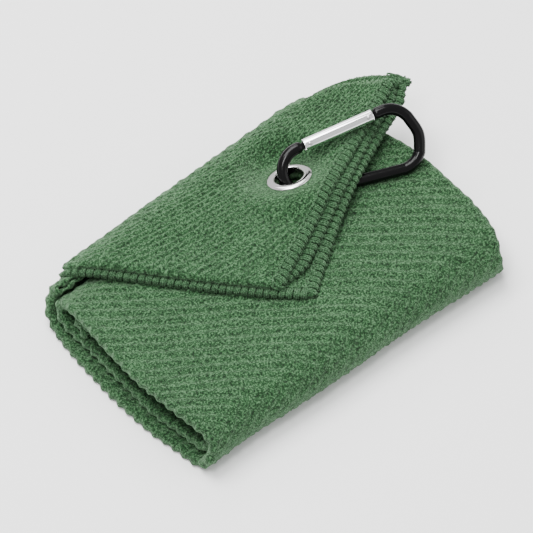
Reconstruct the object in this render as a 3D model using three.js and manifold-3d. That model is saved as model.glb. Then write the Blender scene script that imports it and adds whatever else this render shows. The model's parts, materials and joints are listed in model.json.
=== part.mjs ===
// Golf towel: a waffle-weave cloth folded into a packet, with a grommet and a carabiner clip.
// Millimetres. +X runs along the folds, +Y towards the far fold, +Z up.
// The origin is the centre of the packet's resting face.
import * as THREE from 'three';
import { mergeVertices } from 'three/addons/utils/BufferGeometryUtils.js';
import Module from 'manifold-3d';

const wasm = await Module();
wasm.setup();

// ---------- Driving dimensions ----------
const GAP = 0.3;
const REST_GAP = 0.4;

// Folded packet
const PACKET_LENGTH = 206;
const PACKET_DEPTH = 129;
const PACKET_HEIGHT = 28;
const FOLD_RADIUS = 13;

// Flap: corners as x, y of the cloth's middle surface, and how far each is lifted off the packet
const FLAP_CORNERS = {
  farLeft: { x: -85, y: 62, lift: 0.9 },
  nearTip: { x: -3, y: -32, lift: 0.7 },
  farRight: { x: 116, y: 30.5, lift: 8.4 },
  farFold: { x: 78, y: 60, lift: 3.4 },
};
const FLAP_END_BOW = 7;
const FLAP_RISE_SHARE = 0.55;
const FLAP_THICKNESS = 6.3;
const FLAP_CLAMPED_THICKNESS = 3;
const CLAMP_INNER_RADIUS = 14;
const CLAMP_OUTER_RADIUS = 30;

// Overlock stitching
const STITCH_RADIUS = 0.9;
const STITCH_CLEARANCE = 0.55;
const PLY_PITCH = 2.1;

// Grommet
const GROMMET_CENTRE = new THREE.Vector3(33.7, 27.5, 39.5);
const GROMMET_NORMAL = new THREE.Vector3(0.05, 0.4, 0.91).normalize();
const GROMMET_HOLE_RADIUS = 7.5;
const GROMMET_BARREL_RADIUS = 8.1;
const GROMMET_FLANGE_RADIUS = 12;
const GROMMET_FLANGE_THICKNESS = 0.9;
const WASHER_THICKNESS = 0.8;

// Carabiner, drawn in its own plane: u along the spine, v from the spine to the gate
const CARABINER_ORIGIN = new THREE.Vector3(61, 7, 31.2);
const CARABINER_U = new THREE.Vector3(0.915, -0.404, 0).normalize();
const CARABINER_V = new THREE.Vector3(0.309, 0.701, 0.643);
const ROD_RADIUS = 2.9;
const BEND_RADIUS = 11.7;
const HINGE_BEND = new THREE.Vector2(-24, 11.7);
const NOSE_BEND = new THREE.Vector2(22.9, 19.4);
const HEEL_BEND = new THREE.Vector2(24.4, 11.7);
const GATE_RADIUS = 3.15;
const GATE_BORE_RADIUS = 2.35;
const GATE_START = 4;
const GATE_END = 42.4;
const HINGE_AT = 7.2;
const LATCH_AT = 39.8;
const SLOT_WIDTH = 3;
const TONGUE_WIDTH = 2.4;
const PIN_RADIUS = 0.9;
const PIN_HEAD_RADIUS = 1.5;
const PIN_HEAD_THICKNESS = 0.5;

// ---------- Materials ----------
function material(color, roughness, metalness) {
  return new THREE.MeshStandardMaterial({ color, roughness, metalness });
}

const CLOTH_GREEN = 0x4e7650;
const THREAD_GREEN = 0x466c48;
const NICKEL = 0xd9dbdc;
const BLACK_ALUMINIUM = 0x111213;
const POLISHED_ALUMINIUM = 0xcfd2d5;
const STEEL = 0x9da0a3;

// ---------- Helpers ----------
const part = new THREE.Group();

function addMesh(parent, name, geometry, surface) {
  const mesh = new THREE.Mesh(geometry, surface);
  mesh.name = name;
  parent.add(mesh);
  return mesh;
}

function toSolid(geometry) {
  const bare = geometry.clone();
  bare.deleteAttribute('normal');
  bare.deleteAttribute('uv');
  const merged = mergeVertices(bare, 1e-4);
  const triVerts = Uint32Array.from(merged.index.array);
  const vertProperties = Float32Array.from(merged.attributes.position.array);
  return new wasm.Manifold(new wasm.Mesh({ numProp: 3, vertProperties, triVerts }));
}

function toGeometry(solid) {
  const mesh = solid.getMesh();
  const geometry = new THREE.BufferGeometry();
  geometry.setAttribute('position', new THREE.BufferAttribute(mesh.vertProperties, 3));
  geometry.setIndex(new THREE.BufferAttribute(mesh.triVerts, 1));
  return geometry;
}

const smooth = (t) => {
  const c = THREE.MathUtils.clamp(t, 0, 1);
  return c * c * (3 - 2 * c);
};

// A closed slab between two surfaces over a unit square; each surface gives a Vector3 for (s, t)
function slab(columns, rows, upper, lower) {
  const positions = [];
  const index = [];
  for (const surface of [upper, lower]) {
    for (let j = 0; j <= rows; j += 1) {
      for (let i = 0; i <= columns; i += 1) {
        positions.push(...surface(i / columns, j / rows).toArray());
      }
    }
  }
  const layer = (columns + 1) * (rows + 1);
  const at = (i, j, side) => side * layer + j * (columns + 1) + i;
  const quad = (a, b, c, d) => index.push(a, b, c, a, c, d);
  for (let j = 0; j < rows; j += 1) {
    for (let i = 0; i < columns; i += 1) {
      quad(at(i, j, 0), at(i, j + 1, 0), at(i + 1, j + 1, 0), at(i + 1, j, 0));
      quad(at(i, j, 1), at(i + 1, j, 1), at(i + 1, j + 1, 1), at(i, j + 1, 1));
    }
  }
  for (let i = 0; i < columns; i += 1) {
    quad(at(i, 0, 0), at(i + 1, 0, 0), at(i + 1, 0, 1), at(i, 0, 1));
    quad(at(i + 1, rows, 0), at(i, rows, 0), at(i, rows, 1), at(i + 1, rows, 1));
  }
  for (let j = 0; j < rows; j += 1) {
    quad(at(0, j + 1, 0), at(0, j, 0), at(0, j, 1), at(0, j + 1, 1));
    quad(at(columns, j, 0), at(columns, j + 1, 0), at(columns, j + 1, 1), at(columns, j, 1));
  }
  const geometry = new THREE.BufferGeometry();
  geometry.setAttribute('position', new THREE.Float32BufferAttribute(positions, 3));
  geometry.setIndex(index);
  return geometry;
}

function rod(points, radius, sides, steps) {
  const section = new THREE.Shape();
  for (let i = 0; i < sides; i += 1) {
    const angle = (2 * Math.PI * i) / sides;
    const x = radius * Math.cos(angle);
    const y = radius * Math.sin(angle);
    if (i) section.lineTo(x, y);
    else section.moveTo(x, y);
  }
  const extrudePath = new THREE.CatmullRomCurve3(points, false, 'centripetal');
  return new THREE.ExtrudeGeometry(section, { steps, extrudePath });
}

// A turned piece whose axis is +Z; the profile lists [radius, height] anticlockwise
function turned(profile, segments) {
  const points = profile.map(([radius, height]) => new THREE.Vector2(radius, height));
  return new THREE.LatheGeometry(points, segments).rotateX(Math.PI / 2);
}

// ---------- Packet ----------
function packetTop(y) {
  const past = Math.abs(y) - (PACKET_DEPTH / 2 - FOLD_RADIUS);
  if (past <= 0) return PACKET_HEIGHT;
  return PACKET_HEIGHT - FOLD_RADIUS + Math.sqrt(Math.max(FOLD_RADIUS ** 2 - past ** 2, 0));
}

function makePacket() {
  const foldSegments = 7;
  const section = new THREE.Shape();
  const flatHalf = PACKET_DEPTH / 2 - FOLD_RADIUS;
  const corners = [
    { y: -flatHalf, z: FOLD_RADIUS, from: -Math.PI },
    { y: flatHalf, z: FOLD_RADIUS, from: -Math.PI / 2 },
    { y: flatHalf, z: PACKET_HEIGHT - FOLD_RADIUS, from: 0 },
    { y: -flatHalf, z: PACKET_HEIGHT - FOLD_RADIUS, from: Math.PI / 2 },
  ];
  const outline = corners.flatMap(({ y, z, from }) => Array.from({ length: foldSegments + 1 }, (_, i) => {
    const angle = from + (Math.PI / 2) * (i / foldSegments);
    return new THREE.Vector2(y + FOLD_RADIUS * Math.cos(angle), z + FOLD_RADIUS * Math.sin(angle));
  }));
  section.setFromPoints(outline);
  const geometry = new THREE.ExtrudeGeometry(section, { depth: PACKET_LENGTH, bevelEnabled: false });
  // The section is drawn as (y, z) and extruded along x
  const laid = new THREE.Matrix4().set(
    0, 0, 1, -PACKET_LENGTH / 2,
    1, 0, 0, 0,
    0, 1, 0, 0,
    0, 0, 0, 1,
  );
  return geometry.applyMatrix4(laid);
}

// ---------- Flap ----------
// The direction in plan that points away from the flap across one of its edges
function outwardOf(from, to) {
  return new THREE.Vector2(to.y - from.y, from.x - to.x).normalize();
}

function flapPlace(s, t) {
  const { farLeft, nearTip, farRight, farFold } = FLAP_CORNERS;
  const blend = (key) => {
    const far = THREE.MathUtils.lerp(farLeft[key], farFold[key], s);
    const near = THREE.MathUtils.lerp(nearTip[key], farRight[key], s);
    return THREE.MathUtils.lerp(far, near, t);
  };
  // The end edge is slack, so it bows in between its two corners
  const bow = FLAP_END_BOW * 4 * s * (1 - s) * t;
  // The clip's spine lies under the flap and lifts it within the first part of its width
  const rise = smooth(s / FLAP_RISE_SHARE);
  const farLift = THREE.MathUtils.lerp(farLeft.lift, farFold.lift, s);
  const nearLift = THREE.MathUtils.lerp(nearTip.lift, farRight.lift, rise);
  const lift = THREE.MathUtils.lerp(farLift, nearLift, t);
  const outward = outwardOf(nearTip, farRight);
  return { x: blend('x') - bow * outward.x, y: blend('y') - bow * outward.y, lift };
}

// The grommet pulls the cloth round it into its own tilted plane and presses the plies together
function flapSurface(s, t, side) {
  const { x, y, lift } = flapPlace(s, t);
  const looseMiddle = packetTop(y) + lift + FLAP_THICKNESS / 2;
  const reach = Math.hypot(x - GROMMET_CENTRE.x, y - GROMMET_CENTRE.y);
  const free = smooth((reach - CLAMP_INNER_RADIUS) / (CLAMP_OUTER_RADIUS - CLAMP_INNER_RADIUS));
  const n = GROMMET_NORMAL;
  const depth = GROMMET_FLANGE_THICKNESS + GAP + FLAP_CLAMPED_THICKNESS / 2;
  const slope = n.x * (x - GROMMET_CENTRE.x) + n.y * (y - GROMMET_CENTRE.y) + depth;
  const clampedMiddle = GROMMET_CENTRE.z - slope / n.z;
  const half = THREE.MathUtils.lerp(FLAP_CLAMPED_THICKNESS / n.z, FLAP_THICKNESS, free) / 2;
  const resting = packetTop(y) + REST_GAP + half;
  const middle = Math.max(THREE.MathUtils.lerp(clampedMiddle, looseMiddle, free), resting);
  return new THREE.Vector3(x, y, middle + side * half);
}

function makeFlap() {
  const sheet = slab(30, 24, (s, t) => flapSurface(s, t, 1), (s, t) => flapSurface(s, t, -1));
  const holeRadius = GROMMET_BARREL_RADIUS + GAP;
  const cutter = new THREE.CylinderGeometry(holeRadius, holeRadius, 20, 32);
  const placed = new THREE.Matrix4().compose(
    GROMMET_CENTRE,
    new THREE.Quaternion().setFromUnitVectors(new THREE.Vector3(0, 1, 0), GROMMET_NORMAL),
    new THREE.Vector3(1, 1, 1),
  );
  return toGeometry(toSolid(sheet).subtract(toSolid(cutter.applyMatrix4(placed))));
}

// A run of stitching just outside the flap's edge, at one ply's height
function edgeStitching(edge, outward, ply) {
  const offset = STITCH_RADIUS + STITCH_CLEARANCE;
  const count = 14;
  const points = Array.from({ length: count + 1 }, (_, i) => {
    const [s, t] = edge(0.02 + 0.96 * (i / count));
    const surface = flapSurface(s, t, 0);
    return new THREE.Vector3(
      surface.x + outward.x * offset,
      surface.y + outward.y * offset,
      surface.z + ply * PLY_PITCH,
    );
  });
  return rod(points, STITCH_RADIUS, 8, 40);
}

// ---------- Grommet ----------
function makeGrommet(parent) {
  const frame = new THREE.Group();
  frame.position.copy(GROMMET_CENTRE);
  frame.quaternion.setFromUnitVectors(new THREE.Vector3(0, 0, 1), GROMMET_NORMAL);
  const segments = 40;
  const flangeBottom = -GROMMET_FLANGE_THICKNESS;
  const washerTop = flangeBottom - FLAP_CLAMPED_THICKNESS - 2 * GAP;
  const washerBottom = washerTop - WASHER_THICKNESS;
  const curlTop = washerBottom - GAP;
  const curlBottom = curlTop - WASHER_THICKNESS;
  const eyelet = turned([
    [GROMMET_HOLE_RADIUS + 0.6, curlBottom],
    [GROMMET_HOLE_RADIUS + 2.2, curlBottom + 0.25],
    [GROMMET_HOLE_RADIUS + 2.2, curlTop],
    [GROMMET_BARREL_RADIUS, curlTop],
    [GROMMET_BARREL_RADIUS, flangeBottom],
    [GROMMET_FLANGE_RADIUS, flangeBottom],
    [GROMMET_FLANGE_RADIUS, flangeBottom + 0.35],
    [GROMMET_FLANGE_RADIUS - 1, -0.15],
    [GROMMET_FLANGE_RADIUS - 2.4, 0],
    [GROMMET_HOLE_RADIUS + 1, -0.15],
    [GROMMET_HOLE_RADIUS, -0.8],
    [GROMMET_HOLE_RADIUS, curlBottom + 0.5],
    [GROMMET_HOLE_RADIUS + 0.6, curlBottom],
  ], segments);
  const washer = turned([
    [GROMMET_BARREL_RADIUS + GAP, washerBottom],
    [GROMMET_FLANGE_RADIUS, washerBottom + 0.3],
    [GROMMET_FLANGE_RADIUS, washerTop],
    [GROMMET_BARREL_RADIUS + GAP, washerTop],
    [GROMMET_BARREL_RADIUS + GAP, washerBottom],
  ], segments);
  addMesh(frame, 'grommet_eyelet', eyelet, material(NICKEL, 0.18, 1));
  addMesh(frame, 'grommet_washer', washer, material(NICKEL, 0.25, 1));
  parent.add(frame);
}

// ---------- Carabiner ----------
const GATE_ANGLE = Math.atan2(NOSE_BEND.y - HINGE_BEND.y, NOSE_BEND.x - HINGE_BEND.x);
const GATE_LINE_START = new THREE.Vector2(
  HINGE_BEND.x - BEND_RADIUS * Math.sin(GATE_ANGLE),
  HINGE_BEND.y + BEND_RADIUS * Math.cos(GATE_ANGLE),
);

function onGateLine(along) {
  return new THREE.Vector3(
    GATE_LINE_START.x + along * Math.cos(GATE_ANGLE),
    GATE_LINE_START.y + along * Math.sin(GATE_ANGLE),
    0,
  );
}

function bend(centre, fromDegrees, toDegrees, count) {
  return Array.from({ length: count + 1 }, (_, i) => {
    const angle = THREE.MathUtils.degToRad(THREE.MathUtils.lerp(fromDegrees, toDegrees, i / count));
    const x = centre.x + BEND_RADIUS * Math.cos(angle);
    const y = centre.y + BEND_RADIUS * Math.sin(angle);
    return new THREE.Vector3(x, y, 0);
  });
}

// A box whose long side lies on the gate's line, from one distance along it to another
function gateLineBox(from, to, height, width, offset) {
  const box = new THREE.BoxGeometry(to - from, height, width);
  box.rotateZ(GATE_ANGLE);
  const middle = onGateLine((from + to) / 2);
  box.translate(middle.x - offset * Math.sin(GATE_ANGLE), middle.y + offset * Math.cos(GATE_ANGLE), 0);
  return box;
}

function crossPin(along, radius, length) {
  const pin = new THREE.CylinderGeometry(radius, radius, length, 16).rotateX(Math.PI / 2);
  const centre = onGateLine(along);
  return pin.translate(centre.x, centre.y, 0);
}

function makeCarabinerBody() {
  const gateDegrees = THREE.MathUtils.radToDeg(GATE_ANGLE);
  const noseStart = onGateLine(GATE_END + 0.9);
  const hingeEnd = onGateLine(GATE_START - 1.5);
  const path = [
    noseStart,
    ...bend(NOSE_BEND, 90 + gateDegrees, 12, 6),
    ...bend(HEEL_BEND, -12, -90, 6),
    new THREE.Vector3(8, 0, 0),
    new THREE.Vector3(-8, 0, 0),
    ...bend(HINGE_BEND, -90, -270 + gateDegrees, 12),
    hingeEnd,
  ];
  const shaft = toSolid(rod(path, ROD_RADIUS, 12, 72));
  const tongue = toSolid(gateLineBox(GATE_START - 2.5, HINGE_AT + 1.8, 3.6, TONGUE_WIDTH, 0));
  const tongueHole = toSolid(crossPin(HINGE_AT, PIN_RADIUS + GAP, 8));
  // The nose is a flat finger that reaches into the gate's slot, with a hook under the latch pin
  const nose = toSolid(gateLineBox(LATCH_AT - 1.9, GATE_END + 2, 3.4, TONGUE_WIDTH, 0));
  const notch = toSolid(gateLineBox(LATCH_AT - PIN_RADIUS - GAP, LATCH_AT + PIN_RADIUS + GAP, 4, 4, -1));
  return toGeometry(shaft.add(tongue).add(nose).subtract(tongueHole).subtract(notch));
}

function makeGateTube() {
  const length = GATE_END - GATE_START;
  const chamfer = 0.6;
  const tube = turned([
    [GATE_BORE_RADIUS, 0],
    [GATE_RADIUS - chamfer, 0],
    [GATE_RADIUS, chamfer],
    [GATE_RADIUS, length - chamfer],
    [GATE_RADIUS - chamfer, length],
    [GATE_BORE_RADIUS, length],
    [GATE_BORE_RADIUS, 0],
  ], 24);
  tube.rotateY(Math.PI / 2).rotateZ(GATE_ANGLE);
  const start = onGateLine(GATE_START);
  tube.translate(start.x, start.y, 0);
  const reach = 12;
  const hingeSlot = toSolid(gateLineBox(GATE_START - 1, HINGE_AT + 2.8, reach, SLOT_WIDTH, 0));
  const noseSlot = toSolid(gateLineBox(LATCH_AT - 2.6, GATE_END + 1, reach, SLOT_WIDTH, 0));
  const hingeHole = toSolid(crossPin(HINGE_AT, PIN_RADIUS + GAP, reach));
  const latchHole = toSolid(crossPin(LATCH_AT, PIN_RADIUS + GAP, reach));
  const slotted = toSolid(tube).subtract(hingeSlot).subtract(noseSlot);
  return toGeometry(slotted.subtract(hingeHole).subtract(latchHole));
}

// A headed pin: the shank runs through both cheeks of the gate, with a domed head outside each
function makePin(along) {
  const half = GATE_RADIUS + GAP;
  const pin = turned([
    [0, -half - PIN_HEAD_THICKNESS],
    [PIN_HEAD_RADIUS * 0.6, -half - PIN_HEAD_THICKNESS * 0.8],
    [PIN_HEAD_RADIUS, -half],
    [PIN_RADIUS, -half],
    [PIN_RADIUS, half],
    [PIN_HEAD_RADIUS, half],
    [PIN_HEAD_RADIUS * 0.6, half + PIN_HEAD_THICKNESS * 0.8],
    [0, half + PIN_HEAD_THICKNESS],
  ], 16);
  const centre = onGateLine(along);
  return pin.translate(centre.x, centre.y, 0);
}

function makePlunger() {
  const from = HINGE_AT + 3.3;
  const plunger = turned([
    [0, 0],
    [1.2, 0.1],
    [GATE_BORE_RADIUS - GAP - 0.1, 1.2],
    [GATE_BORE_RADIUS - GAP - 0.1, 3],
    [0, 3],
  ], 16);
  const start = onGateLine(from);
  return plunger.rotateY(Math.PI / 2).rotateZ(GATE_ANGLE).translate(start.x, start.y, 0);
}

function makeSpring() {
  const wireRadius = 0.3;
  const coilRadius = 1.6;
  const turns = 8;
  const stepsPerTurn = 10;
  const from = HINGE_AT + 6.3 + GAP + wireRadius + 0.2;
  const length = 12;
  const axis = new THREE.Vector3(Math.cos(GATE_ANGLE), Math.sin(GATE_ANGLE), 0);
  const across = new THREE.Vector3(-axis.y, axis.x, 0);
  const points = [];
  for (let i = 0; i <= turns * stepsPerTurn; i += 1) {
    const angle = (2 * Math.PI * i) / stepsPerTurn;
    const point = onGateLine(from + (length * i) / (turns * stepsPerTurn));
    point.addScaledVector(across, coilRadius * Math.cos(angle));
    point.z += coilRadius * Math.sin(angle);
    points.push(point);
  }
  return rod(points, wireRadius, 6, turns * stepsPerTurn);
}

function makeCarabiner(parent) {
  const frame = new THREE.Group();
  const normal = new THREE.Vector3().crossVectors(CARABINER_U, CARABINER_V).normalize();
  const across = new THREE.Vector3().crossVectors(normal, CARABINER_U);
  frame.quaternion.setFromRotationMatrix(new THREE.Matrix4().makeBasis(CARABINER_U, across, normal));
  frame.position.copy(CARABINER_ORIGIN);
  const steel = material(STEEL, 0.35, 1);
  addMesh(frame, 'carabiner_body', makeCarabinerBody(), material(BLACK_ALUMINIUM, 0.22, 0.4));
  addMesh(frame, 'carabiner_gate', makeGateTube(), material(POLISHED_ALUMINIUM, 0.25, 1));
  addMesh(frame, 'gate_hinge_pin', makePin(HINGE_AT), steel);
  addMesh(frame, 'gate_latch_pin', makePin(LATCH_AT), steel);
  addMesh(frame, 'gate_plunger', makePlunger(), steel);
  addMesh(frame, 'gate_spring', makeSpring(), steel);
  parent.add(frame);
}

// ---------- Assembly ----------
const cloth = material(CLOTH_GREEN, 0.95, 0);
const thread = material(THREAD_GREEN, 0.9, 0);
const { farLeft, nearTip, farRight } = FLAP_CORNERS;
const endEdge = (w) => [w, 1];
const sideEdge = (w) => [0, w];
const endOutward = outwardOf(nearTip, farRight);
const sideOutward = outwardOf(farLeft, nearTip);

addMesh(part, 'towel_packet', makePacket(), cloth);
addMesh(part, 'towel_flap', makeFlap(), cloth);
addMesh(part, 'overlock_end_top', edgeStitching(endEdge, endOutward, 1), thread);
addMesh(part, 'overlock_end_middle', edgeStitching(endEdge, endOutward, 0), thread);
addMesh(part, 'overlock_end_bottom', edgeStitching(endEdge, endOutward, -1), thread);
addMesh(part, 'overlock_side_flap', edgeStitching(sideEdge, sideOutward, -0.5), thread);
makeGrommet(part);
makeCarabiner(part);

export default part;
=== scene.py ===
"""Golf towel: waffle cloth folded into a packet, with a hemmed flap, a grommet and a carabiner."""

import json
import math

import bpy
import numpy as np
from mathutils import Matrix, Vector


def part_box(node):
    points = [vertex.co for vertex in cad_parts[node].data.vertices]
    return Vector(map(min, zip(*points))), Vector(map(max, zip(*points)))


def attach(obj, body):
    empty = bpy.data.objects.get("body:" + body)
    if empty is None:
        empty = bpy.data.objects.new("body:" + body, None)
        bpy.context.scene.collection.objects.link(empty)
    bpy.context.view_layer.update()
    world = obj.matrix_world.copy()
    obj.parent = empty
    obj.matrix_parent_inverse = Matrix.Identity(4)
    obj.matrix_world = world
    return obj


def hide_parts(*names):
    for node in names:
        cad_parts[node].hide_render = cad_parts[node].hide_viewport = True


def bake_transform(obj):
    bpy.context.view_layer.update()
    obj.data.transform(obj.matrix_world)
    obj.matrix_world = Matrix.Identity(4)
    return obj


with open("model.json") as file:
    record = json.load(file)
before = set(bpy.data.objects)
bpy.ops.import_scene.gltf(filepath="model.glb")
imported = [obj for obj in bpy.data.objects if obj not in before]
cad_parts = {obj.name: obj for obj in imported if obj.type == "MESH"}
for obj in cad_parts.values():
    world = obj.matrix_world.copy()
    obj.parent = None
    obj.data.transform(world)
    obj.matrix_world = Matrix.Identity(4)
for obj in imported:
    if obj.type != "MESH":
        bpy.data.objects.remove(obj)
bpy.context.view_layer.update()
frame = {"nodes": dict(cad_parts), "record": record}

MM = 0.001

# ---------- The frame's own places ----------
PACKET_LOW, PACKET_HIGH = (np.array(corner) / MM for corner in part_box("towel_packet"))
FOLD_AXIS = next(j for j in frame["record"]["behaviour"]["joints"] if j["name"] == "flap_fold")["pos_m"]
FOLD_Y, FOLD_Z = FOLD_AXIS[1] / MM, FOLD_AXIS[2] / MM
PACKET_TOP = PACKET_HIGH[2]
FOLD_RADIUS = 13.0

# ---------- Cloth sizes, in millimetres ----------
PLY = 2.0
PLY_PITCH = 2.3
CLAMPED_PLY, CLAMPED_PITCH = 1.0, 1.02
TOWEL_WIDTH = 406.0
PACKET_RUN = 485.0
FLAP_RUN = 125.0
CELL_ALONG = 6.5
CELL_ACROSS = 9.1
WAFFLE_DEPTH = 0.62
GRID = 1.25


# ---------- Small maths ----------
def smooth(t):
    t = np.clip(t, 0, 1)
    return t * t * (3 - 2 * t)


def curve_through(points, count):
    """Points a steady distance apart on a Catmull-Rom curve through the given ones, and its length."""
    points = np.array(points, float)
    padded = np.vstack([2 * points[0] - points[1], points, 2 * points[-1] - points[-2]])
    fine = []
    for i in range(1, len(padded) - 2):
        p0, p1, p2, p3 = padded[i - 1 : i + 3]
        t = np.linspace(0, 1, 24, endpoint=False)[:, None]
        square = (2 * p0 - 5 * p1 + 4 * p2 - p3) * t**2
        cube = (3 * p1 - p0 - 3 * p2 + p3) * t**3
        fine.append(0.5 * (2 * p1 + (p2 - p0) * t + square + cube))
    fine = np.vstack(fine + [points[-1:]])
    run = np.concatenate([[0], np.cumsum(np.linalg.norm(np.diff(fine, axis=0), axis=1))])
    steps = np.linspace(0, run[-1], count)
    return np.stack([np.interp(steps, run, fine[:, k]) for k in range(points.shape[1])], 1), run[-1]


def value_noise(u, v, scale, seed):
    """Smooth noise between -1 and 1 over two coordinates."""
    table = np.random.default_rng(seed).uniform(-1, 1, (128, 128))
    x, y = u / scale, v / scale
    i, j = np.floor(x).astype(int), np.floor(y).astype(int)
    fx, fy = smooth(x - i), smooth(y - j)
    pick = lambda a, b: table[a % 128, b % 128]
    near = pick(i, j) * (1 - fx) + pick(i + 1, j) * fx
    far = pick(i, j + 1) * (1 - fx) + pick(i + 1, j + 1) * fx
    return near * (1 - fy) + far * fy


def waffle(u, v):
    """Height of the weave: staggered soft pads with pinched corners, and the tufts of the pile on them."""
    a = u / CELL_ALONG + value_noise(u, v, 23, 3) * 0.10
    b = v / CELL_ACROSS + value_noise(v, u, 19, 5) * 0.10
    pads = np.cos(2 * np.pi * (a + b)) + np.cos(2 * np.pi * (a - b))
    tufts = value_noise(u, v, 1.4, 7) * 0.7 + value_noise(u, v, 2.7, 9) * 0.3
    return WAFFLE_DEPTH * (0.56 * pads + 0.55 * tufts)


# ---------- Mesh helpers ----------
def new_object(name, vertices, faces, material, smooth_shade=True):
    mesh = bpy.data.meshes.new(name)
    mesh.from_pydata((np.asarray(vertices) * MM).tolist(), [], faces)
    mesh.validate()
    mesh.update()
    if smooth_shade:
        mesh.polygons.foreach_set("use_smooth", [True] * len(mesh.polygons))
    obj = bpy.data.objects.new(name, mesh)
    bpy.context.scene.collection.objects.link(obj)
    mesh.materials.append(material)
    return obj


def grid_normals(points):
    du = np.gradient(points, axis=0)
    dv = np.gradient(points, axis=1)
    n = np.cross(du, dv)
    return n / np.maximum(np.linalg.norm(n, axis=2), 1e-9)[..., None]


def cloth_shell(name, points, u, v, thickness, material, relief=1.0, keep=None):
    """A closed sheet of cloth round a grid of middle points, with the weave's relief on both faces."""
    normal = grid_normals(points)
    height = waffle(u, v) * relief
    half = thickness / 2
    upper = points + normal * (half + height)[..., None]
    lower = points - normal * (half + waffle(u + 3.1, v + 2.7) * relief)[..., None]
    rows, columns = u.shape
    vertices = np.concatenate([upper.reshape(-1, 3), lower.reshape(-1, 3)])
    index = np.arange(rows * columns).reshape(rows, columns)
    quads = np.stack([index[:-1, :-1], index[1:, :-1], index[1:, 1:], index[:-1, 1:]], -1).reshape(-1, 4)
    kept = np.ones(len(quads), bool) if keep is None else keep[:-1, :-1].reshape(-1)
    quads = quads[kept]
    shift = rows * columns
    faces = np.concatenate([quads, quads[:, ::-1] + shift])
    edges = np.concatenate([quads[:, [k, (k + 1) % 4]] for k in range(4)])
    keys = {(int(a), int(b)) for a, b in edges}
    rim = [(a, b) for a, b in keys if (b, a) not in keys]
    sides = np.array([(b, a, a + shift, b + shift) for a, b in sorted(rim)])
    faces = np.concatenate([faces, sides])
    used, remapped = np.unique(faces, return_inverse=True)
    return new_object(name, vertices[used], remapped.reshape(-1, 4).tolist(), material)


def swept(path, radius, sides):
    """Vertices and faces of a round tube along a path, closed at both ends."""
    path = np.asarray(path, float)
    tangent = np.gradient(path, axis=0)
    tangent /= np.linalg.norm(tangent, axis=1)[:, None]
    reference = np.where(np.abs(tangent[:, [2]]) < 0.9, [[0, 0, 1.0]], [[1.0, 0, 0]])
    side = np.cross(tangent, reference)
    side /= np.linalg.norm(side, axis=1)[:, None]
    up = np.cross(side, tangent)
    angle = 2 * np.pi * np.arange(sides) / sides
    ring = np.cos(angle)[None, :, None] * side[:, None] + np.sin(angle)[None, :, None] * up[:, None]
    vertices = (path[:, None] + ring * radius).reshape(-1, 3)
    count = len(path)
    i, k = np.meshgrid(np.arange(count - 1), np.arange(sides), indexing="ij")
    a = i * sides + k
    b = i * sides + (k + 1) % sides
    faces = np.stack([a, b, b + sides, a + sides], -1).reshape(-1, 4).tolist()
    faces.append(list(range(sides))[::-1])
    faces.append([(count - 1) * sides + k for k in range(sides)])
    return vertices, faces


def joined_tubes(name, paths, radius, sides, material):
    vertices, faces, offset = [], [], 0
    for path in paths:
        part, part_faces = swept(path, radius, sides)
        vertices.append(part)
        faces += [[index + offset for index in face] for face in part_faces]
        offset += len(part)
    return new_object(name, np.vstack(vertices), faces, material)


# ---------- Materials ----------
def shader(name):
    material = bpy.data.materials.new(name)
    material.use_nodes = True
    nodes = material.node_tree.nodes
    return material, nodes, material.node_tree.links, nodes["Principled BSDF"]


def add_noise(nodes, links, scale, detail=3.0, roughness=0.6):
    where = nodes.new("ShaderNodeTexCoord")
    texture = nodes.new("ShaderNodeTexNoise")
    texture.inputs["Scale"].default_value = scale
    texture.inputs["Detail"].default_value = detail
    texture.inputs["Roughness"].default_value = roughness
    links.new(where.outputs["Object"], texture.inputs["Vector"])
    return texture


def cloth_material(name, dark, middle, light, pile_scale):
    """Microfibre: colour from broad fading and from the fine pile, with painted shade darker down in the
    pile's gaps.
    """
    material, nodes, links, bsdf = shader(name)
    pile = add_noise(nodes, links, pile_scale, 4.0, 0.7)
    # The pile's height picks the colour: painted shade, darkest down in the pile's gaps
    ramp = nodes.new("ShaderNodeValToRGB")
    ramp.color_ramp.elements[0].position = 0.40
    ramp.color_ramp.elements[0].color = (*dark, 1)
    ramp.color_ramp.elements[1].position = 0.62
    ramp.color_ramp.elements[1].color = (*light, 1)
    centre = ramp.color_ramp.elements.new(0.5)
    centre.color = (*middle, 1)
    links.new(pile.outputs["Fac"], ramp.inputs["Fac"])
    broad = add_noise(nodes, links, 55.0, 2.0)
    fade = nodes.new("ShaderNodeMix")
    fade.data_type = "RGBA"
    fade.blend_type = "MULTIPLY"
    fade.inputs["Factor"].default_value = 0.35
    links.new(ramp.outputs["Color"], fade.inputs["A"])
    links.new(broad.outputs["Fac"], fade.inputs["B"])
    links.new(fade.outputs["Result"], bsdf.inputs["Base Color"])
    bump = nodes.new("ShaderNodeBump")
    bump.inputs["Strength"].default_value = 0.9
    bump.inputs["Distance"].default_value = 0.0010
    links.new(pile.outputs["Fac"], bump.inputs["Height"])
    links.new(bump.outputs["Normal"], bsdf.inputs["Normal"])
    bsdf.inputs["Roughness"].default_value = 0.95
    bsdf.inputs["Specular IOR Level"].default_value = 0.15
    bsdf.inputs["Sheen Weight"].default_value = 0.35
    bsdf.inputs["Sheen Roughness"].default_value = 0.5
    bsdf.inputs["Sheen Tint"].default_value = (0.55, 0.85, 0.55, 1)
    return material


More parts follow.
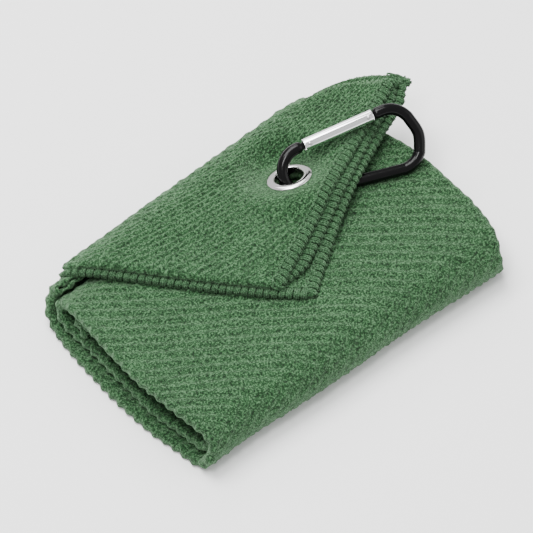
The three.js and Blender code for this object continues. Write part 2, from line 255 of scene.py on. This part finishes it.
def metal_material(name, colour, roughness, metallic, scratch, specular=0.5):
    """Metal or a gloss coat with fine scratches and faint uneven wear in its roughness."""
    material, nodes, links, bsdf = shader(name)
    bsdf.inputs["Metallic"].default_value = metallic
    bsdf.inputs["Base Color"].default_value = (*colour, 1)
    bsdf.inputs["Specular IOR Level"].default_value = specular
    wear = add_noise(nodes, links, 900.0, 5.0, 0.75)
    spread = nodes.new("ShaderNodeMapRange")
    spread.inputs["To Min"].default_value = roughness * 0.7
    spread.inputs["To Max"].default_value = roughness * 1.5
    links.new(wear.outputs["Fac"], spread.inputs["Value"])
    links.new(spread.outputs["Result"], bsdf.inputs["Roughness"])
    bump = nodes.new("ShaderNodeBump")
    bump.inputs["Strength"].default_value = scratch
    bump.inputs["Distance"].default_value = 0.00005
    links.new(wear.outputs["Fac"], bump.inputs["Height"])
    links.new(bump.outputs["Normal"], bsdf.inputs["Normal"])
    return material


# The darkest green of each set is painted shade for down in the pile's gaps
CLOTH_GREENS = (0.001, 0.009, 0.002), (0.013, 0.056, 0.016), (0.088, 0.20, 0.092)
THREAD_GREENS = (0.003, 0.022, 0.005), (0.022, 0.08, 0.027), (0.085, 0.19, 0.09)
CLOTH = cloth_material("microfibre", *CLOTH_GREENS, pile_scale=1000.0)
THREAD = cloth_material("overlock_thread", *THREAD_GREENS, pile_scale=1500.0)
NICKEL = metal_material("nickel_plate", (0.86, 0.86, 0.84), 0.12, 1.0, 0.12)
BLACK = metal_material("black_anodised", (0.002, 0.002, 0.0022), 0.15, 0.0, 0.08, specular=0.16)
ALUMINIUM = metal_material("polished_aluminium", (0.93, 0.94, 0.95), 0.10, 1.0, 0.12)
STEEL = metal_material("rivet_steel", (0.55, 0.55, 0.56), 0.28, 1.0, 0.2)


# ---------- Camera, lights and floor ----------
def make_camera():
    azimuth, elevation = math.radians(-42), math.radians(52)
    distance, pixels_per_metre, frame_pixels, sensor = 4.0, 2000.0, 533, 36.0
    back = Vector((
        math.sin(azimuth) * math.cos(elevation), -math.cos(azimuth) * math.cos(elevation), math.sin(elevation)
    ))
    right = Vector((math.cos(azimuth), math.sin(azimuth), 0))
    up = back.cross(right)
    # The middle of the view lies a little to the left of the frame's origin and above it
    across, down = 0.0044, 0.0128
    data = bpy.data.cameras.new("camera")
    data.sensor_width = sensor
    data.lens = sensor * pixels_per_metre * distance / frame_pixels
    data.clip_end = 20
    camera = bpy.data.objects.new("camera", data)
    camera.location = back * distance - right * across + up * down
    camera.rotation_euler = back.to_track_quat("Z", "Y").to_euler()
    bpy.context.scene.collection.objects.link(camera)
    bpy.context.scene.camera = camera


def make_light(name, place, size, power):
    data = bpy.data.lights.new(name, "AREA")
    data.size = size
    data.energy = power
    light = bpy.data.objects.new(name, data)
    light.location = place
    light.rotation_euler = Vector(place).to_track_quat("Z", "Y").to_euler()
    bpy.context.scene.collection.objects.link(light)


FLOOR_HALF = 4.0
FLOOR_Z = -0.1


def make_stage():
    half = FLOOR_HALF / MM
    vertices = [(x, y, FLOOR_Z) for x, y in ((-half, -half), (half, -half), (half, half), (-half, half))]
    material, _, _, bsdf = shader("pale_floor")
    bsdf.inputs["Base Color"].default_value = (0.97, 0.97, 0.97, 1)
    bsdf.inputs["Roughness"].default_value = 0.9
    floor = new_object("floor", vertices, [[0, 1, 2, 3]], material, False)
    world = bpy.data.worlds.new("studio")
    world.use_nodes = True
    world.node_tree.nodes["Background"].inputs["Color"].default_value = (1, 1, 1, 1)
    world.node_tree.nodes["Background"].inputs["Strength"].default_value = 0.85
    bpy.context.scene.world = world
    make_light("key", (-0.5, -0.25, 1.3), 0.35, 11)
    make_light("overhead", (-0.1, 0.5, 1.5), 1.0, 42)
    make_light("fill", (0.9, -0.9, 0.7), 0.9, 4)
    make_light("rim", (0.5, 1.1, 0.9), 0.6, 7)


# ---------- Packet ----------
def packet_path():
    """The roll seen from its end, as (y, z): over the far fold, under, round the near fold, back, and in."""
    near, far = PACKET_LOW[1], PACKET_HIGH[1]
    top = PACKET_TOP
    layer = PLY_PITCH
    outer = [
        (far - 7, top - 2.2),
        (far - layer, FOLD_Z),
        (far - layer, 12),
        (far - 6, 5.2),
        (far - 15, layer + 0.3),
        (0, layer + 0.3),
        (near + 14, layer + 0.3),
        (near + 6, 5.4),
        (near + layer, 12.5),
        (near + layer + 0.6, 18),
        (near + 8, top - 4.6),
        (near + 18, top - layer),
        (0, top - layer - 0.2),
        (far - 26, top - layer - 0.6),
    ]
    inner = [
        (far - 14, top - 6.0),
        (far - 9, 16),
        (far - 12, 11.2),
        (far - 22, 8.4),
        (0, 7.9),
        (near + 20, 8.2),
        (near + 9.5, 10.4),
        (near + 8.2, 14.5),
        (near + 12, 18.2),
        (near + 24, 19.6),
        (0, 19.2),
        (far - 38, 18.2),
        (far - 22, 14.6),
        (far - 30, 12.6),
    ]
    return outer + inner


def packet_left(y, z):
    """Where the roll's left end lies in x; the cloth below stands out a little past the cloth above."""
    return -PACKET_HIGH[0] - 0.3 + 0.0013 * (y + 10) ** 2 + 4.5 * smooth((z - 8) / 14)


def packet_right(y, z):
    """Where the roll's right end lies in x; both its corners are rounded off, the far one more."""
    from_middle = y + 5
    taper = np.where(from_middle < 0, 0.0026, 0.0060) * from_middle**2
    rounding = 0.006 * np.clip(-45 - y, 0, None) ** 2
    return PACKET_HIGH[0] - 5.4 - taper - rounding + 3.0 * (1 - smooth(z / 20))


def make_packet():
    """Both sides of the towel are folded to its middle, and the doubled cloth is then rolled up flat."""
    rows = int(PACKET_RUN / GRID)
    path, length = curve_through(packet_path(), rows)
    run = np.linspace(0, length, rows)
    tangent = np.gradient(path, axis=0)
    tangent /= np.linalg.norm(tangent, axis=1)[:, None]
    outward = np.stack([-tangent[:, 1], tangent[:, 0]], 1)
    columns = int(TOWEL_WIDTH / GRID)
    across = np.linspace(0, TOWEL_WIDTH, columns)
    fold = PLY_PITCH / 2
    turn = np.pi * fold
    panel = (TOWEL_WIDTH - 2 * turn) / 4
    # Each half: an inner quarter from the middle out to the fold, the turn, and an outer quarter back
    half = np.minimum(across, TOWEL_WIDTH - across)
    angle = np.clip((half - panel) / turn, 0, 1) * np.pi
    from_fold = np.where(half < panel, panel - half, np.clip(half - panel - turn, 0, None))
    puff = 1 + 0.55 * np.exp(-from_fold / 9)
    ply_side = fold * np.cos(angle) * puff
    share = (from_fold - fold * np.sin(angle)) / panel
    share = np.where(across < TOWEL_WIDTH / 2, share / 2, 1 - share / 2)
    u, v = np.meshgrid(run, across, indexing="ij")
    y, z = path[:, 0], path[:, 1]
    inside = np.clip((run - 270) / 40, 0, 1)
    left = packet_left(y, z) + value_noise(run, run * 0, 21, 21) * 0.9 + inside * 5.5
    right = packet_right(y, z) + value_noise(run, run * 0, 17, 23) * 0.9 - inside * 4.0
    x = left[:, None] + (right - left)[:, None] * share[None, :]
    # Long slow ripples of slack cloth
    ripple = value_noise(x, y[:, None] + 0 * x, 34, 31) * 0.6
    ripple = ripple + value_noise(x, run[:, None] + 0 * x, 13, 33) * 0.25
    lift = ply_side[None, :] + ripple
    near_shift = -(3.2 + 0.035 * x) * smooth(-y / 60)[:, None]
    points = np.stack([
        x,
        y[:, None] - outward[:, [0]] * lift + near_shift,
        z[:, None] - outward[:, [1]] * lift,
    ], -1)
    points[..., 2] = np.maximum(points[..., 2], PLY / 2 + 0.75)
    obj = cloth_shell("packet_cloth", points, u, v, PLY, CLOTH)
    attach(obj, "packet")
    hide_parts("towel_packet")
    return obj


make_camera()
make_stage()
packet = make_packet()


# ---------- Flap, in the same plan as its solid ----------
FAR_LEFT, NEAR_TIP = np.array([-85.0, 63.0]), np.array([-3.0, -32.0])
FAR_RIGHT, FAR_FOLD = np.array([120.0, 29.0]), np.array([78.0, 61.5])
END_BOW = 5.5
SIDE_BOW = 2.6
CORNER_LIFT = 3.2
FAR_SIDE_BULGE = 6.0
GROMMET = np.array([33.7, 27.5, 39.5])
GROMMET_NORMAL = np.array([0.05, 0.4, 0.91]) / np.linalg.norm([0.05, 0.4, 0.91])
CLAMP_INNER, CLAMP_OUTER = 13.0, 30.0
GROMMET_CUT_RADIUS = 8.9
# How far each corner is lifted off the packet, and the half thickness of the three plies, free and clamped
FAR_LEFT_LIFT, FAR_FOLD_LIFT, NEAR_TIP_LIFT, FAR_RIGHT_LIFT = 0.9, 3.4, 0.7, 8.4
RISE_SHARE = 0.55
FREE_HALF, CLAMPED_HALF = 3.15, 1.65
CLAMPED_DEPTH = 2.7
REST_GAP = 0.4


def packet_top(y):
    past = np.abs(y) - (PACKET_HIGH[1] - FOLD_RADIUS)
    round_top = PACKET_TOP - FOLD_RADIUS + np.sqrt(np.maximum(FOLD_RADIUS**2 - past**2, 0))
    return np.where(past <= 0, PACKET_TOP, round_top)


def flap_middle(s, t):
    """The middle of the flap's three plies, and how freely they lie: from 0 in the grommet's clamp to 1."""
    far = FAR_LEFT + (FAR_FOLD - FAR_LEFT) * s[..., None]
    near = NEAR_TIP + (FAR_RIGHT - NEAR_TIP) * s[..., None]
    direction = (FAR_RIGHT - NEAR_TIP) / np.linalg.norm(FAR_RIGHT - NEAR_TIP)
    outward = np.array([direction[1], -direction[0]])
    bow = END_BOW * 4 * s * (1 - s) * np.clip(t, 0, 1)
    side = (FAR_RIGHT - FAR_FOLD) / np.linalg.norm(FAR_RIGHT - FAR_FOLD)
    bulge = FAR_SIDE_BULGE * 4 * np.clip(t, 0, 1) * (1 - np.clip(t, 0, 1)) * np.clip(s, 0, 1.2) ** 2
    place = far + (near - far) * t[..., None] - outward * bow[..., None]
    place = place + np.array([-side[1], side[0]]) * bulge[..., None]
    # The near side sags a little towards its tip
    hem = (NEAR_TIP - FAR_LEFT) / np.linalg.norm(NEAR_TIP - FAR_LEFT)
    sag = SIDE_BOW * np.sin(np.pi * np.clip(t, 0, 1) ** 1.8) * (1 - smooth(s / 0.5))
    place = place + np.array([hem[1], -hem[0]]) * sag[..., None]
    x, y = place[..., 0], place[..., 1]
    rise = smooth(s / RISE_SHARE)
    far_lift = FAR_LEFT_LIFT + (FAR_FOLD_LIFT - FAR_LEFT_LIFT) * s
    near_lift = NEAR_TIP_LIFT + (FAR_RIGHT_LIFT - NEAR_TIP_LIFT) * rise
    lift = far_lift * (1 - t) + near_lift * t
    lift = lift + CORNER_LIFT * smooth((s - 0.86) / 0.14) * np.clip(t, 0, 1)
    loose = packet_top(y) + lift + FREE_HALF
    reach = np.hypot(x - GROMMET[0], y - GROMMET[1])
    free = smooth((reach - CLAMP_INNER) / (CLAMP_OUTER - CLAMP_INNER))
    n = GROMMET_NORMAL
    slope = n[0] * (x - GROMMET[0]) + n[1] * (y - GROMMET[1]) + CLAMPED_DEPTH
    clamped = GROMMET[2] - slope / n[2]
    half = CLAMPED_HALF + (FREE_HALF - CLAMPED_HALF) * free
    z = np.maximum(clamped * (1 - free) + loose * free, packet_top(y) + REST_GAP + half)
    return np.stack([x, y, z], -1), free


# How far the upper plies' fold lies inside the bottom ply's free hem, as a share of the flap's width
FOLD_SETBACK = 0.03


def accordion(across):
    """Where a point across the towel lies in the folded flap: its share of the way over, and its ply."""
    fold = PLY_PITCH / 2
    turn = np.pi * fold
    panel = (TOWEL_WIDTH - 2 * turn) / 3
    over, level = np.zeros_like(across), np.zeros_like(across)
    first = across < panel
    over[first], level[first] = across[first] / panel, -1
    bend = (across >= panel) & (across < panel + turn)
    angle = (across[bend] - panel) / turn * np.pi
    over[bend], level[bend] = 1 + fold / panel * np.sin(angle), -0.5 - 0.5 * np.cos(angle)
    second = (across >= panel + turn) & (across < 2 * panel + turn)
    over[second], level[second] = 1 - (1 - FOLD_SETBACK) * (across[second] - panel - turn) / panel, 0
    bend = (across >= 2 * panel + turn) & (across < 2 * panel + 2 * turn)
    angle = (across[bend] - 2 * panel - turn) / turn * np.pi
    over[bend], level[bend] = FOLD_SETBACK - fold / panel * np.sin(angle), 0.5 - 0.5 * np.cos(angle)
    third = across >= 2 * panel + 2 * turn
    over[third] = FOLD_SETBACK + (1.02 - FOLD_SETBACK) * (across[third] - 2 * panel - 2 * turn) / panel
    # The top ply's own side hem droops over the far side of the two plies below
    level[third] = 1 - 2.4 * smooth((over[third] - 0.94) / 0.09)
    return over, level


WRAP_RUN = 26.0
FOLD_FULLNESS = 2.6


def make_flap():
    rows = int((FLAP_RUN + WRAP_RUN) / GRID)
    columns = int(TOWEL_WIDTH / GRID)
    run = np.linspace(-WRAP_RUN, FLAP_RUN, rows)
    across = np.linspace(0, TOWEL_WIDTH, columns)
    over, level = accordion(across)
    # The plies end one behind the other, so each hem shows past the one above it
    top_end = 0.86 + 0.05 * np.sin(np.pi * np.clip(over, 0, 1))
    middle_end = top_end + 0.05 * smooth((over - FOLD_SETBACK) / 0.1)
    end = np.where(level < 0, 1 + (middle_end - 1) * (level + 1), middle_end + (top_end - middle_end) * level)
    end = end - 0.07 * smooth((over - 0.9) / 0.1) * (level < 0.5)
    u, v = np.meshgrid(run, across, indexing="ij")
    t = np.clip(u, 0, None) / FLAP_RUN * end[None, :]
    s = np.broadcast_to(over[None, :], t.shape)
    points, free = flap_middle(s, t)
    # The hems spread a little apart towards the end, and a long soft ripple runs through each ply
    spread = 1 + 0.55 * smooth((t - 0.55) / 0.4) * smooth(s / 0.2) * free
    pitch = (CLAMPED_PITCH + (PLY_PITCH - CLAMPED_PITCH) * free) * spread
    ripple = value_noise(points[..., 0], points[..., 1], 26, 41) * 0.5 * free
    tilt = (1 - free)[..., None] * GROMMET_NORMAL + free[..., None] * np.array([0, 0, 1.0])
    points = points + tilt * (level[None, :] * pitch + ripple)[..., None]
    # Past the far fold the cloth turns down round the packet and runs in with its outer ply
    down = np.clip(-u, 0, None) / WRAP_RUN
    start = points[np.argmax(run >= 0)][None, :, :]
    centre_y, centre_z = PACKET_HIGH[1] - FOLD_RADIUS, PACKET_TOP - FOLD_RADIUS
    offset_y, offset_z = start[..., 1] - centre_y, start[..., 2] - centre_z
    radius = np.hypot(offset_y, offset_z)
    angle = np.arctan2(offset_z, offset_y) - down * 1.35
    radius = radius + (FOLD_RADIUS - 1.6 - radius) * smooth(down)
    wrapped = np.stack([
        start[..., 0] + 0 * u - 5 * down * (start[..., 0] / 100),
        centre_y + radius * np.cos(angle),
        centre_z + radius * np.sin(angle),
    ], -1)
    points = np.where((u < 0)[..., None], wrapped, points)
    # The fold itself is full and round, a little proud of the packet's own
    angle = np.arctan2(points[..., 2] - centre_z, points[..., 1] - centre_y)
    full = FOLD_FULLNESS * np.exp(-(((angle - 0.5) / 0.5) ** 2)) * (points[..., 1] > centre_y - 5)
    points = points + np.stack([0 * angle, full * np.cos(angle), full * np.sin(angle)], -1)
    n = GROMMET_NORMAL
    arm = points - GROMMET
    along = (arm @ n)[..., None]
    radial = np.linalg.norm(arm - along * n, axis=2)
    keep = ~((radial < GROMMET_CUT_RADIUS) & (u > 0))
    thickness = CLAMPED_PLY + (PLY - CLAMPED_PLY) * free
    relief = 0.15 + 0.85 * free
    obj = cloth_shell("flap_cloth", points, u, v, thickness, CLOTH, relief, keep)
    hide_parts("towel_flap")
    return obj, points


# ---------- Overlock stitching ----------
STITCH_PITCH = 3.7
STRANDS = 3
STRAND_RADIUS = 0.52
HEM_WIDTH = 5.0
THREAD_STAND_OFF = 0.75
STRAND_LEAN = 0.9


def overlock(name, edge, inward, normal):
    """Thread wrapped round a cut edge: groups of strands over the edge and a chain along the inner side."""
    run = np.concatenate([[0], np.cumsum(np.linalg.norm(np.diff(edge, axis=0), axis=1))])
    at = lambda field, where: np.array([np.interp(where, run, field[:, k]) for k in range(3)]).T
    # One strand's way round the edge: how far inside it, and how high as a share of the hem's half height
    section = [(HEM_WIDTH, 0.25), (3.2, 0.85), (1.4, 0.98), (-0.3, 0.72), (-0.95, 0.0)]
    half_height = PLY / 2 + THREAD_STAND_OFF
    section = section + [(inside, -height) for inside, height in section[-2::-1]]
    paths = []
    for middle in np.arange(STITCH_PITCH / 2, run[-1] - STITCH_PITCH / 2, STITCH_PITCH):
        for strand in range(STRANDS):
            place = middle + (strand - (STRANDS - 1) / 2) * 2 * STRAND_RADIUS * 0.93
            bulge = 0.35 if strand == (STRANDS - 1) / 2 else 0.0
            path = []
            for step, (inside, height) in enumerate(section):
                here = np.array([place + STRAND_LEAN * inside / HEM_WIDTH])
                base, inner, up = at(edge, here)[0], at(inward, here)[0], at(normal, here)[0]
                puff = 1 + bulge * math.sin(math.pi * step / (len(section) - 1))
                reach_in = inside if inside > 0 else inside * puff
                path.append(base + inner * reach_in + up * height * half_height * (1 + 0.3 * bulge))
            paths.append(path)
    chain = []
    for side in (1, -1):
        where = np.arange(1.0, run[-1] - 1.0, 0.6)
        swing = 0.55 * np.sin(2 * np.pi * where / STITCH_PITCH)
        inside = (HEM_WIDTH - 0.4 + swing)[:, None]
        chain.append(at(edge, where) + at(inward, where) * inside + at(normal, where) * side * half_height)
    smooth_paths = [curve_through(path, 11)[0] for path in paths]
    return joined_tubes(name, smooth_paths + chain, STRAND_RADIUS, 6, THREAD)


def edge_frames(edge, inner):
    """The edge's own points, the direction into the cloth, and the cloth's normal there."""
    inward = inner - edge
    inward /= np.linalg.norm(inward, axis=1)[:, None]
    tangent = np.gradient(edge, axis=0)
    tangent /= np.linalg.norm(tangent, axis=1)[:, None]
    normal = np.cross(tangent, inward)
    normal /= np.linalg.norm(normal, axis=1)[:, None]
    inward = np.cross(normal, tangent)
    return edge, inward, normal


# Grid steps back from an edge to the point that gives the direction into the cloth
BACK_STEPS = 3


def make_flap_hems(points):
    end = overlock("end_hem", *edge_frames(points[-1], points[-1 - BACK_STEPS]))
    first_row = int(WRAP_RUN / GRID) + 2
    side = points[first_row:]
    left = overlock("side_hem", *edge_frames(side[:, 0], side[:, BACK_STEPS]))
    right = overlock("side_hem_inner", *edge_frames(side[:, -1], side[:, -1 - BACK_STEPS]))
    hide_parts("overlock_end_top", "overlock_end_middle", "overlock_end_bottom")
    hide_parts("overlock_side_flap")
    return [end, left, right]


# ---------- Grommet and carabiner, at full roundness ----------
def turned(profile, segments):
    """A closed ring turned round +Z from a closed outline of (radius, height)."""
    angle = 2 * np.pi * np.arange(segments) / segments
    outline = np.array(profile)
    vertices = np.stack([
        np.outer(np.cos(angle), outline[:, 0]), np.outer(np.sin(angle), outline[:, 0]),
        np.outer(np.ones(segments), outline[:, 1]),
    ], -1).reshape(-1, 3)
    count = len(outline)
    faces = []
    for i in range(segments):
        for k in range(count):
            a, b = i * count + k, i * count + (k + 1) % count
            c, d = ((i + 1) % segments) * count + (k + 1) % count, ((i + 1) % segments) * count + k
            faces.append([a, d, c, b])
    return vertices, faces


def axes_from(normal, reference=(1, 0, 0)):
    normal = np.array(normal, float) / np.linalg.norm(normal)
    first = np.array(reference, float) - normal * np.dot(reference, normal)
    first /= np.linalg.norm(first)
    return np.stack([first, np.cross(normal, first), normal])


def make_grommet():
    axes = axes_from(GROMMET_NORMAL)
    eyelet = [
        (7.5, -0.75), (7.62, -0.4), (7.9, -0.16), (8.4, -0.02), (9.2, 0.06), (10.2, 0.04), (11.0, -0.1),
        (11.6, -0.32), (11.95, -0.62), (11.98, -0.85), (11.8, -0.95), (8.2, -0.95), (8.12, -1.1),
        (8.12, -5.6), (9.7, -5.62), (9.7, -6.1), (9.0, -6.4), (8.1, -6.4), (7.6, -6.1), (7.5, -5.7),
    ]
    washer = [(8.4, -4.55), (8.4, -5.2), (9.2, -5.3), (11.4, -5.22), (11.95, -4.95), (11.9, -4.55)]
    for name, profile in (("eyelet", eyelet), ("washer", washer)):
        vertices, faces = turned(profile, 96)
        obj = new_object(name, vertices @ axes + GROMMET, faces, NICKEL)
        obj.modifiers.new("edges", "EDGE_SPLIT").split_angle = math.radians(50)
        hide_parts("grommet_" + name)
        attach(obj, "flap")


CLIP_ORIGIN = np.array([61.0, 7.0, 31.2])
CLIP_U = np.array([0.915, -0.404, 0]) / np.linalg.norm([0.915, -0.404, 0])
CLIP_V = np.array([0.309, 0.701, 0.643])
CLIP_N = np.cross(CLIP_U, CLIP_V) / np.linalg.norm(np.cross(CLIP_U, CLIP_V))
CLIP_V = np.cross(CLIP_N, CLIP_U)
CLIP_AXES = np.stack([CLIP_U, CLIP_V, CLIP_N])
BEND = 11.7
HINGE_BEND, NOSE_BEND, HEEL_BEND = np.array([-24, 11.7]), np.array([22.9, 19.4]), np.array([24.4, 11.7])
BACK_OF_CLIP = np.array([36.6, 15.6])
ROD_RADIUS, GATE_RADIUS = 3.0, 3.15
GATE_START, GATE_END, HINGE_AT, LATCH_AT = 4.0, 42.4, 7.2, 39.8
GATE_ANGLE = math.atan2(*(NOSE_BEND - HINGE_BEND)[::-1])
GATE_DIRECTION = np.array([math.cos(GATE_ANGLE), math.sin(GATE_ANGLE)])
GATE_ZERO = HINGE_BEND + BEND * np.array([-math.sin(GATE_ANGLE), math.cos(GATE_ANGLE)])


def clip_point(flat, out=0.0):
    flat = np.asarray(flat, float)
    in_plane = flat[..., :1] * CLIP_U + flat[..., 1:2] * CLIP_V
    return CLIP_ORIGIN + in_plane + np.asarray(out)[..., None] * CLIP_N


def on_gate_line(along):
    return GATE_ZERO + GATE_DIRECTION * along


def clip_arc(centre, start, stop, count):
    angle = np.radians(np.linspace(start, stop, count))
    return centre + BEND * np.stack([np.cos(angle), np.sin(angle)], 1)


def cut(target, *cutters):
    for cutter in cutters:
        modifier = target.modifiers.new("cut", "BOOLEAN")
        modifier.operation = "DIFFERENCE"
        modifier.solver = "EXACT"
        modifier.object = cutter
    bpy.context.view_layer.update()
    mesh = bpy.data.meshes.new_from_object(target.evaluated_get(bpy.context.evaluated_depsgraph_get()))
    target.modifiers.clear()
    target.data = mesh
    for cutter in cutters:
        bpy.data.objects.remove(cutter, do_unlink=True)


def clip_box(name, start, stop, height, width, offset=0.0):
    """A box lying on the gate's line, from one distance along it to another."""
    middle = on_gate_line((start + stop) / 2)
    across = np.array([-GATE_DIRECTION[1], GATE_DIRECTION[0]])
    corners = []
    for i in (-1, 1):
        for j in (-1, 1):
            for k in (-1, 1):
                flat = middle + GATE_DIRECTION * i * (stop - start) / 2 + across * (offset + j * height / 2)
                corners.append(clip_point(flat, k * width / 2))
    faces = [[0, 1, 3, 2], [4, 6, 7, 5], [0, 4, 5, 1], [2, 3, 7, 6], [0, 2, 6, 4], [1, 5, 7, 3]]
    return new_object(name, np.array(corners).reshape(8, 3), faces, BLACK, False)


def rounded(obj, width, segments=3):
    modifier = obj.modifiers.new("round", "BEVEL")
    modifier.width = width * MM
    modifier.segments = segments
    modifier.limit_method = "ANGLE"
    obj.data.polygons.foreach_set("use_smooth", [True] * len(obj.data.polygons))
    shade = obj.modifiers.new("edges", "EDGE_SPLIT")
    shade.split_angle = math.radians(35)


def make_carabiner_body():
    degrees = math.degrees(GATE_ANGLE)
    flat = [on_gate_line(GATE_END + 0.9)]
    flat += list(clip_arc(NOSE_BEND, 90 + degrees, 24, 8))
    flat += [BACK_OF_CLIP]
    flat += list(clip_arc(HEEL_BEND, -24, -90, 8))
    flat += [np.array([8.0, 0]), np.array([-8.0, 0])]
    flat += list(clip_arc(HINGE_BEND, -90, -270 + degrees, 14))
    flat += [on_gate_line(GATE_START - 1.5)]
    path, _ = curve_through(np.array(flat), 220)
    places = clip_point(path, np.zeros(len(path)))
    taper = np.ones(len(path)) * ROD_RADIUS
    for end, inward in ((0, 1), (-1, -1)):
        for step, share in enumerate((0.80, 0.93, 0.98)):
            taper[end + inward * step] = ROD_RADIUS * share
    vertices, faces = swept(places, ROD_RADIUS, 32)
    vertices = vertices.reshape(len(path), 32, 3)
    vertices = places[:, None] + (vertices - places[:, None]) * (taper / ROD_RADIUS)[:, None, None]
    body = new_object("carabiner_rod", vertices.reshape(-1, 3), faces, BLACK)
    body.modifiers.new("edges", "EDGE_SPLIT").split_angle = math.radians(50)
    tongue = clip_box("hinge_tongue", GATE_START - 2.5, HINGE_AT + 1.8, 3.6, 2.4)
    nose = clip_box("nose_hook", LATCH_AT - 1.9, GATE_END + 2, 3.4, 2.4)
    notch = clip_box("notch", LATCH_AT - 1.2, LATCH_AT + 1.2, 4, 4, -1)
    cut(nose, notch)
    for obj in (tongue, nose):
        rounded(obj, 0.35)
    for obj in (body, tongue, nose):
        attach(obj, "carabiner")
    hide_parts("carabiner_body")


def place_on_gate(vertices, along):
    """Turn +Z into the gate's direction, with its zero at a distance along the gate's line."""
    direction = GATE_DIRECTION[0] * CLIP_U + GATE_DIRECTION[1] * CLIP_V
    axes = np.stack([np.cross(direction, CLIP_N), CLIP_N, direction])
    return vertices @ axes + clip_point(on_gate_line(along))


def make_gate():
    length = GATE_END - GATE_START
    tube = [
        (2.35, 0.15), (2.5, 0.0), (2.75, 0.0), (3.0, 0.12), (3.12, 0.35), (GATE_RADIUS, 0.6),
        (GATE_RADIUS, length - 0.6), (3.12, length - 0.35), (3.0, length - 0.12), (2.75, length),
        (2.5, length), (2.35, length - 0.15),
    ]
    vertices, faces = turned(tube, 64)
    gate = new_object("gate_tube", place_on_gate(vertices, GATE_START), faces, ALUMINIUM)
    # The slots open on the inner side; the polished outer side stays whole over the pins
    hinge_slot = clip_box("hinge_slot", GATE_START - 1, HINGE_AT + 2.8, 6, 3, -2.2)
    nose_slot = clip_box("nose_slot", LATCH_AT - 2.6, GATE_END + 1, 6, 3, -2.2)
    cut(gate, hinge_slot, nose_slot)
    gate.data.polygons.foreach_set("use_smooth", [True] * len(gate.data.polygons))
    gate.modifiers.new("edges", "EDGE_SPLIT").split_angle = math.radians(35)
    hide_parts("carabiner_gate")
    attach(gate, "gate")
    half = GATE_RADIUS - 0.15
    lower = [(0.9, 0), (1.35, 0), (1.3, 0.35), (0.95, 0.6), (0.3, 0.72), (0.02, 0.74)]
    profile = [(radius, -half - out) for radius, out in lower]
    profile += [(radius, half + out) for radius, out in lower[::-1]]
    rivets = (("hinge_rivet", "gate_hinge_pin", HINGE_AT), ("latch_rivet", "gate_latch_pin", LATCH_AT))
    for name, node, along in rivets:
        vertices, faces = turned(profile, 32)
        pin = new_object(name, vertices @ CLIP_AXES + clip_point(on_gate_line(along)), faces, STEEL)
        pin.modifiers.new("edges", "EDGE_SPLIT").split_angle = math.radians(50)
        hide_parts(node)
        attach(pin, "gate")
    for node in ("gate_plunger", "gate_spring"):
        surface = frame["nodes"][node]
        surface.data.materials.clear()
        surface.data.materials.append(STEEL)


# ---------- Put it together ----------
flap, flap_points = make_flap()
flap_hems = make_flap_hems(flap_points)
for piece in [flap] + flap_hems:
    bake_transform(piece)
make_grommet()
make_carabiner_body()
make_gate()
